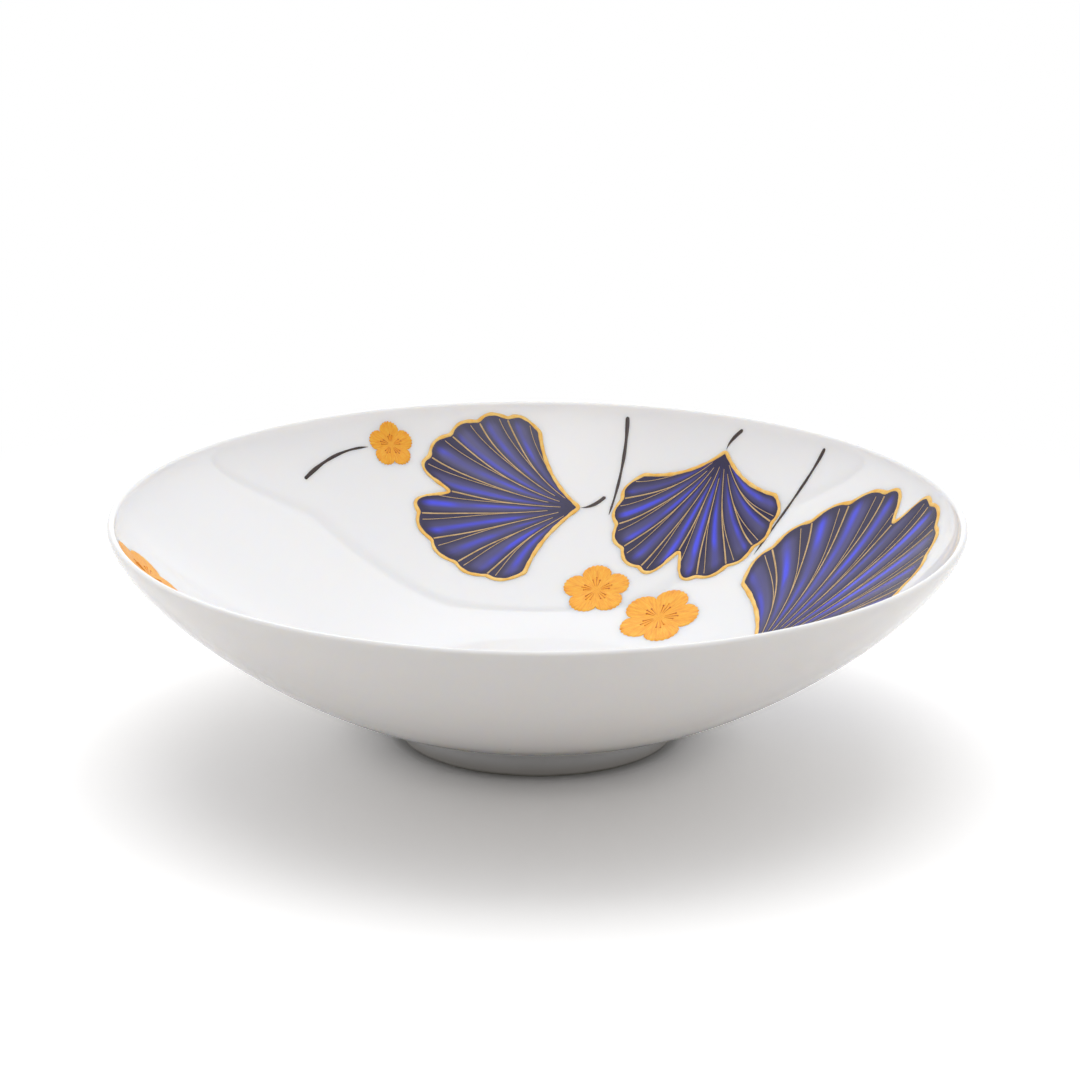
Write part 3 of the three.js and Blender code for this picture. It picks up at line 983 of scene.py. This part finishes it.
def make_gold_lines(leaf, number, material):
    """The outline of a leaf, and veins that fork beside the valleys between its lobes."""
    size_share = leaf.room.radius / RIGHT_LEAF_ROOM
    fineness = GOLD_LEAST_FINENESS + (1 - GOLD_LEAST_FINENESS) * size_share
    up = np.linspace(LEAF_BASE_REACH, 1, 200)
    over = np.linspace(0, 1, 100 * LEAF_LOBES)
    border = np.vstack([
        leaf_point(leaf, up, 0.0),
        leaf_point(leaf, 1.0, over)[1:],
        leaf_point(leaf, up[::-1], 1.0)[1:],
    ])
    edge = softened(evenly(border, True), GOLD_CORNER_ROUND)
    edge = evenly(edge, True)
    way_round = 2 * np.pi * np.arange(len(edge)) / len(edge)
    broad, fine = GOLD_EDGE_WAVES
    breathing = 1 + waves(way_round, [(*broad, number), (*fine, 0)])
    widths = GOLD_EDGE_WIDTH * fineness * breathing
    solids = [stroke_solid(edge, widths, GOLD_EDGE_RISE, closed=True)]
    vein_widths = (GOLD_VEIN_START_WIDTH * fineness, GOLD_VEIN_WIDTH * fineness)
    fork_width = GOLD_FORK_WIDTH * fineness
    fork_widths = (GOLD_FORK_START_SHARE * fork_width, fork_width)
    for valley in range(LEAF_LOBES):
        def vein_at(share):
            wobble = VEIN_WOBBLE * np.sin(9 * share + 2.7 * valley + number) * share
            return valley / LEAF_LOBES + wobble

        def fork_at(share):
            aside = FORK_SHARE * smooth_step(share, *FORK_RANGE)
            return valley / LEAF_LOBES + aside / LEAF_LOBES

        if valley:
            reaches = (VEIN_START_REACHES[valley % 2], VEIN_END_REACH)
            solids.append(drawn_across(leaf, reaches, vein_at, vein_widths))
        first = FORK_RANGE[0] + FORK_START_WANDER * math.sin(5 * valley + number)
        solids.append(drawn_across(leaf, (first, FORK_TIP_REACH), fork_at, fork_widths))
    solid = joined(solids)
    vein = np.ones(len(solid[0]))
    vein[:len(solids[0][0])] = 0
    name = f"{leaf.name}_leaf_gold_lines"
    make_piece(name, solid, material, fields={"vein": vein})


def blossom_edge(room, around):
    petal = np.abs(np.sin(np.pi * PETAL_COUNT * around))
    smooth = room.radius * (1 - PETAL_DIP * (1 - petal**PETAL_ROUNDNESS))
    teeth = np.abs(np.sin(np.pi * PETAL_COUNT * FRINGE_TEETH * around))
    return smooth - FRINGE_DEPTH * (1 - teeth) * petal


def make_blossom(blossom, number, material):
    reach = np.linspace(0.06, 1, BLOSSOM_ROWS)**0.8
    around = np.linspace(0, 1, PETAL_COUNT * COLUMNS_PER_PETAL, endpoint=False)
    reach, around = np.meshgrid(reach, around, indexing="ij")
    edge = blossom_edge(blossom.room, around)
    flat = placed_round(blossom, reach * edge, 2 * np.pi * around)
    petal = np.sin(np.pi * PETAL_COUNT * around)**2
    relief = ENAMEL_RISE + PETAL_RISE * petal * smooth_step(reach, 0.2, 0.7)
    raised = edge_profile((1 - reach) * edge) * relief
    uv = np.stack([number * 20 + around * PETAL_COUNT * 3, reach], axis=-1)
    solid = enamel_solid(flat, raised, uv, closed=True)
    name = f"{blossom.name}_blossom"
    make_piece(f"{name}_enamel", solid, material, name)


def make_stamens(blossom, material):
    """Fine lines from the heart of a blossom into its petals, with a dot on each."""
    size = blossom.room.radius
    width = STAMEN_WIDTH * (0.5 + 0.5 * size / LEFT_BLOSSOM_ROOM)
    solids = []
    for petal in range(PETAL_COUNT):
        for stamen in range(STAMENS_PER_PETAL):
            place = stamen - (STAMENS_PER_PETAL - 1) / 2
            angle = 2 * np.pi * (petal + 0.5 + STAMEN_FAN * place) / PETAL_COUNT
            wander = STAMEN_WANDER * math.sin(3 * petal + stamen)
            length = size * (STAMEN_LENGTH - STAMEN_SIDE_SHORTER * abs(place) + wander)
            reach = np.linspace(STAMEN_START * size, length, 60)
            path = evenly(placed_round(blossom, reach, angle))
            solids.append(stroke_solid(path, tapered(path, 0.4 * width, width), STAMEN_RISE))
            dot = placed_round(blossom, length, angle)
            onward = unit(path[-1] - path[0])
            along = np.linspace(-1, 1, STAMEN_DOT_POINTS)
            bulge = np.sqrt(np.maximum(1 - along**2, 0.02))
            path = dot + onward * width * along[:, None]
            solids.append(stroke_solid(path, 2 * width * bulge, STAMEN_DOT_RISE))
    make_piece(f"{blossom.name}_blossom_stamens", joined(solids), material)


def quadratic(start, control, end):
    share = np.linspace(0, 1, 120)[:, None]
    return (1 - share)**2 * start + 2 * share * (1 - share) * control + share**2 * end


def make_line(name, path, ends, material):
    """A brushed line from the first to the second of two widths."""
    path = evenly(path)
    pressure = np.sin(2 * np.pi * np.arange(len(path)) * STROKE_STEP / BRUSH_PRESSURE_LENGTH)
    widths = tapered(path, *ends) * (1 + BRUSH_PRESSURE * pressure)
    solid = stroke_solid(path, widths, LINE_RISE)
    make_piece(f"{name}_line", solid, material, name)


def make_stalk(leaf, material):
    start = -leaf.room.radius * FAN_BASE_SHARE - ENAMEL_BREAK
    end = -leaf.room.radius
    path = quadratic(
        placed(leaf, 0, start),
        placed(leaf, 0, (start + end) / 2),
        placed(leaf, leaf.bend, end),
    )
    make_line(f"{leaf.name}_leaf_stalk", path, STALK_WIDTHS, material)


def make_lip_twig(name, first, second, bend, material):
    """A twig from the lip down to the neck between two rooms."""
    towards = unit(second.centre - first.centre)
    neck = first.centre + towards * (first.radius + ENAMEL_SPACING / 2)
    lip_end = unit(neck) * (meridian_length - LIP_MARGIN)
    control = (neck + lip_end) / 2 + towards * bend
    make_line(name, quadratic(lip_end, control, neck), TWIG_WIDTHS[::-1], material)


def make_sprig_twig(room, material):
    """A twig that leaves its blossom away from the leaves and bends to the middle."""
    outward = unit(room.centre)
    onward = np.array([-outward[1], outward[0]])
    start = room.centre + onward * (room.radius + ENAMEL_BREAK)
    control = start + onward * SPRIG_TWIG_LENGTH / 2
    end = start + onward * SPRIG_TWIG_LENGTH - outward * SPRIG_TWIG_DROP
    make_line("sprig_twig", quadratic(start, control, end), TWIG_WIDTHS, material)


# Studio: the camera

CAMERA_ELEVATION = 17.362
CAMERA_DISTANCE = 9 * RIM_RADIUS
CAMERA_AIM_HEIGHT = 42.7 * MM
CAMERA_ROLL = 0.266
CAMERA_LENS = 128.2
CAMERA_SHIFT = 0.0024
CAMERA_CLIP = (0.01, 20)


def make_camera():
    data = bpy.data.cameras.new("camera")
    camera = add_object("camera", data)
    elevation = math.radians(CAMERA_ELEVATION)
    height = CAMERA_AIM_HEIGHT + CAMERA_DISTANCE * math.sin(elevation)
    camera.location = (0, -CAMERA_DISTANCE * math.cos(elevation), height)
    camera.rotation_mode = "QUATERNION"
    level = Quaternion((1, 0, 0), math.pi / 2 - elevation)
    roll = Quaternion((0, 0, 1), math.radians(CAMERA_ROLL))
    camera.rotation_quaternion = level @ roll
    data.lens = CAMERA_LENS
    data.shift_x = CAMERA_SHIFT
    data.clip_start, data.clip_end = CAMERA_CLIP
    bpy.context.scene.camera = camera


# Studio: the light from all round. A direction's place over the bowl is its angle in the plane
# across left and right: 0 at the horizon behind the bowl, 90 overhead, 180 on the camera's side.

WHITE = grey(1.0)
LIGHT_OVER = [
    (0, grey(0.9)), (45, grey(1.2)), (90, (0.96, 0.965, 0.98)),
    (135, (0.44, 0.42, 0.40)), (180, (0.15, 0.14, 0.13)),
]

# The light from the far left and right, and the sideways part of a direction where it sets in
LIGHT_SIDE = (0.76, 0.75, 0.74)
LIGHT_SIDE_RANGE = (0.5, 0.95)

# What the glaze reflects: a backdrop, lighter upwards, the dark edge at its top, the ceiling,
# and the camera's side. All of it is dimmer towards the sides.
SEEN_OVER = [
    (0, 1.3), (39.6, 1.3), (55.8, 2.0), (59.8, 2.0), (60.3, 0.0), (62.3, 0.0),
    (62.8, 1.15), (82.8, 1.15), (104.4, 2.3), (135, 2.3), (165.6, 1.2),
]
BACKDROP_EDGE = 61.3
SEEN_SIDE_SHADE = 0.55
SEEN_SIDE_RANGE = (0.1, 0.5)

# The climb of the backdrop's edge by the sideways part of the direction: up to a corner and
# down beyond it. The reflection's bands grow broader sideways.
EDGE_CLIMB = [(0.0, 0.0), (0.2, 0.4), (0.32, 3.0), (0.53, 6.8), (0.69, -2.0), (0.92, -11.0)]
EDGE_CLIMB_LOW = -12.0
EDGE_CLIMB_HIGH = 8.0
SPREAD_ASIDE = 1.1


def make_world():
    """A white studio that camera rays see as plain white."""
    world = bpy.data.worlds.new("studio")
    bpy.context.scene.world = world
    tree = empty_tree(world)
    direction = add_node(tree, "TexCoord").outputs["Generated"]
    right, forward, up = parts_of(tree, direction)
    over = maths(tree, "ARCTAN2", up, forward)
    over = maths(tree, "DIVIDE", over, math.pi)
    sideways = maths(tree, "ABSOLUTE", right)

    climb_span = EDGE_CLIMB_HIGH - EDGE_CLIMB_LOW
    stops = [(place, grey((climb - EDGE_CLIMB_LOW) / climb_span)) for place, climb in EDGE_CLIMB]
    climb = ramp_node(tree, sideways, stops)
    climb = between(tree, climb, (EDGE_CLIMB_LOW / 180, EDGE_CLIMB_HIGH / 180))
    edge = BACKDROP_EDGE / 180
    past_edge = minus(tree, minus(tree, over, climb), edge)
    spread = maths(tree, "MULTIPLY_ADD", sideways, SPREAD_ASIDE, 1.0)
    past_edge = maths(tree, "DIVIDE", past_edge, spread)
    stops = [(angle, grey(level)) for angle, level in SEEN_OVER]
    reflected = ramp_node(tree, maths(tree, "ADD", past_edge, edge), stops, 180)
    seen_aside = smooth_share(tree, sideways, *SEEN_SIDE_RANGE)
    reflected = mix(tree, seen_aside, reflected, grey(SEEN_SIDE_SHADE), "MULTIPLY")

    lit_aside = smooth_share(tree, sideways, *LIGHT_SIDE_RANGE)
    lighting = mix(tree, lit_aside, ramp_node(tree, over, LIGHT_OVER, 180), LIGHT_SIDE)
    rays = add_node(tree, "LightPath").outputs
    colour = mix(tree, rays["Is Glossy Ray"], lighting, reflected)
    seen = maths(tree, "MAXIMUM", rays["Is Camera Ray"], rays["Is Transmission Ray"])
    colour = mix(tree, seen, colour, WHITE)
    background = add_node(tree, "Background", {"Color": colour})
    add_node(tree, "OutputWorld", {"Surface": background.outputs[0]})


LAMP_SIZE = 0.9
LAMP_HEIGHT = 0.8
LAMP_BACK = 0.4
LAMP_POWER = 3.0


def make_lamp():
    data = bpy.data.lights.new("overhead_softbox", "AREA")
    data.size = LAMP_SIZE
    data.energy = LAMP_POWER
    lamp = add_object("overhead_softbox", data)
    lamp.location = (0, LAMP_BACK, LAMP_HEIGHT)
    lamp.visible_glossy = False
    lamp.visible_camera = False


# Studio: the floor. Its light on the bowl is weaker farther out on the camera's side, and under the
# bowl, by painted shade in its bounce colour, which the camera doesn't see.

FLOOR_HALF_SIZE = 3.0
FLOOR_BOUNCE_COLOUR = (0.78, 0.755, 0.73)
FLOOR_FRONT_PAINTED_SHADE = (0.25, 0.24, 0.23)
FRONT_SHADE_RANGE = (-0.12, -0.2)
FLOOR_CONTACT_PAINTED_SHADE = (0.38, 0.37, 0.36)
CONTACT_RANGE = (0.06, 0.035)

# How light the floor looks, by the distance from the bowl's axis: a painted contact shadow, darkest
# at the foot, a painted lighter band just beyond it, and farther out plain white. The glaze mirrors
# it a little dimmer.
FLOOR_SEEN = [
    (0.030, 0.55), (0.032, 1.0), (0.035, 1.45), (0.042, 1.60), (0.048, 1.47),
    (0.055, 1.32), (0.063, 1.24), (0.073, 1.16), (0.087, 1.15), (0.11, 1.22),
]
FLOOR_SEEN_REACH = 0.12
FLOOR_SEEN_TOP = 2.0
FLOOR_MIRRORED_SHARE = 0.75
SHADOW_FADE_RANGE = (0.13, 0.26)


def make_floor():
    """A floor that keeps the bowl's shadow and turns plain white away from it."""
    half = FLOOR_HALF_SIZE
    corners = [(-half, -half, 0), (half, -half, 0), (half, half, 0), (-half, half, 0)]
    mesh = bpy.data.meshes.new("floor")
    mesh.from_pydata(corners, [], [(0, 1, 2, 3)])
    floor = add_object("floor", mesh)
    material = bpy.data.materials.new("white_floor")
    tree = empty_tree(material)
    place = own_place(tree)
    distance = add_node(tree, "VectorMath", {0: place}, operation="LENGTH").outputs["Value"]
    # Painted shade in the floor's bounce colour: darker farther out in front, and darker under the
    # bowl
    forward = parts_of(tree, place)[1]
    front_shaded = smooth_share(tree, forward, *FRONT_SHADE_RANGE)
    bounce = mix(tree, front_shaded, FLOOR_BOUNCE_COLOUR, FLOOR_FRONT_PAINTED_SHADE)
    under_bowl = smooth_share(tree, distance, *CONTACT_RANGE)
    bounce = mix(tree, under_bowl, bounce, FLOOR_CONTACT_PAINTED_SHADE)
    plain = add_node(tree, "BsdfDiffuse", {"Color": bounce})

    # Painted contact shadow and lighter band on the floor that the camera sees
    reach = maths(tree, "DIVIDE", distance, FLOOR_SEEN_REACH)
    stops = [(way, grey(level / FLOOR_SEEN_TOP)) for way, level in FLOOR_SEEN]
    lightness = ramp_node(tree, reach, stops, FLOOR_SEEN_REACH, "B_SPLINE")
    lightness = mix(tree, 1.0, lightness, grey(FLOOR_SEEN_TOP), "MULTIPLY")
    bright = add_node(tree, "BsdfDiffuse", {"Color": lightness})
    white = add_node(tree, "Emission", {"Color": WHITE})
    away = smooth_share(tree, distance, *SHADOW_FADE_RANGE)
    shown = add_node(tree, "MixShader", {0: away, 1: bright.outputs[0], 2: white.outputs[0]})

    rays = add_node(tree, "LightPath").outputs
    mirrored = product(tree, rays["Is Glossy Ray"], FLOOR_MIRRORED_SHARE)
    seen = maths(tree, "MAXIMUM", rays["Is Camera Ray"], rays["Is Transmission Ray"])
    seen = maths(tree, "MAXIMUM", seen, mirrored)
    mixed = add_node(tree, "MixShader", {0: seen, 1: plain.outputs[0], 2: shown.outputs[0]})
    add_node(tree, "OutputMaterial", {"Surface": mixed.outputs[0]})
    mesh.materials.append(material)


make_camera()
make_world()
make_lamp()
make_floor()
bpy.context.scene.view_settings.view_transform = "Standard"

make_bowl(white_glaze())
make_foot(foot_porcelain())
cobalt = cobalt_enamel()
amber = amber_enamel()
amber_line = line_enamel("amber_line_enamel", AMBER_LINE, AMBER_DEEP, AMBER_LINE_PATCHES)
gold = line_enamel("gold_line_enamel", GOLD_FULL, GOLD_THIN, GOLD_PATCHES, VEIN_FULL, VEIN_THIN)
dark = dark_line_enamel()
for number, leaf in enumerate(LEAVES):
    make_leaf(leaf, number, cobalt)
    make_gold_lines(leaf, number, gold)
    make_stalk(leaf, dark)
for number, blossom in enumerate(BLOSSOMS):
    make_blossom(blossom, number, amber)
    make_stamens(blossom, amber_line)
make_lip_twig("right_twig", right_room, middle_room, LIP_TWIG_BEND, dark)
make_lip_twig("back_twig", middle_room, back_room, -LIP_TWIG_BEND, dark)
make_sprig_twig(sprig_room, dark)
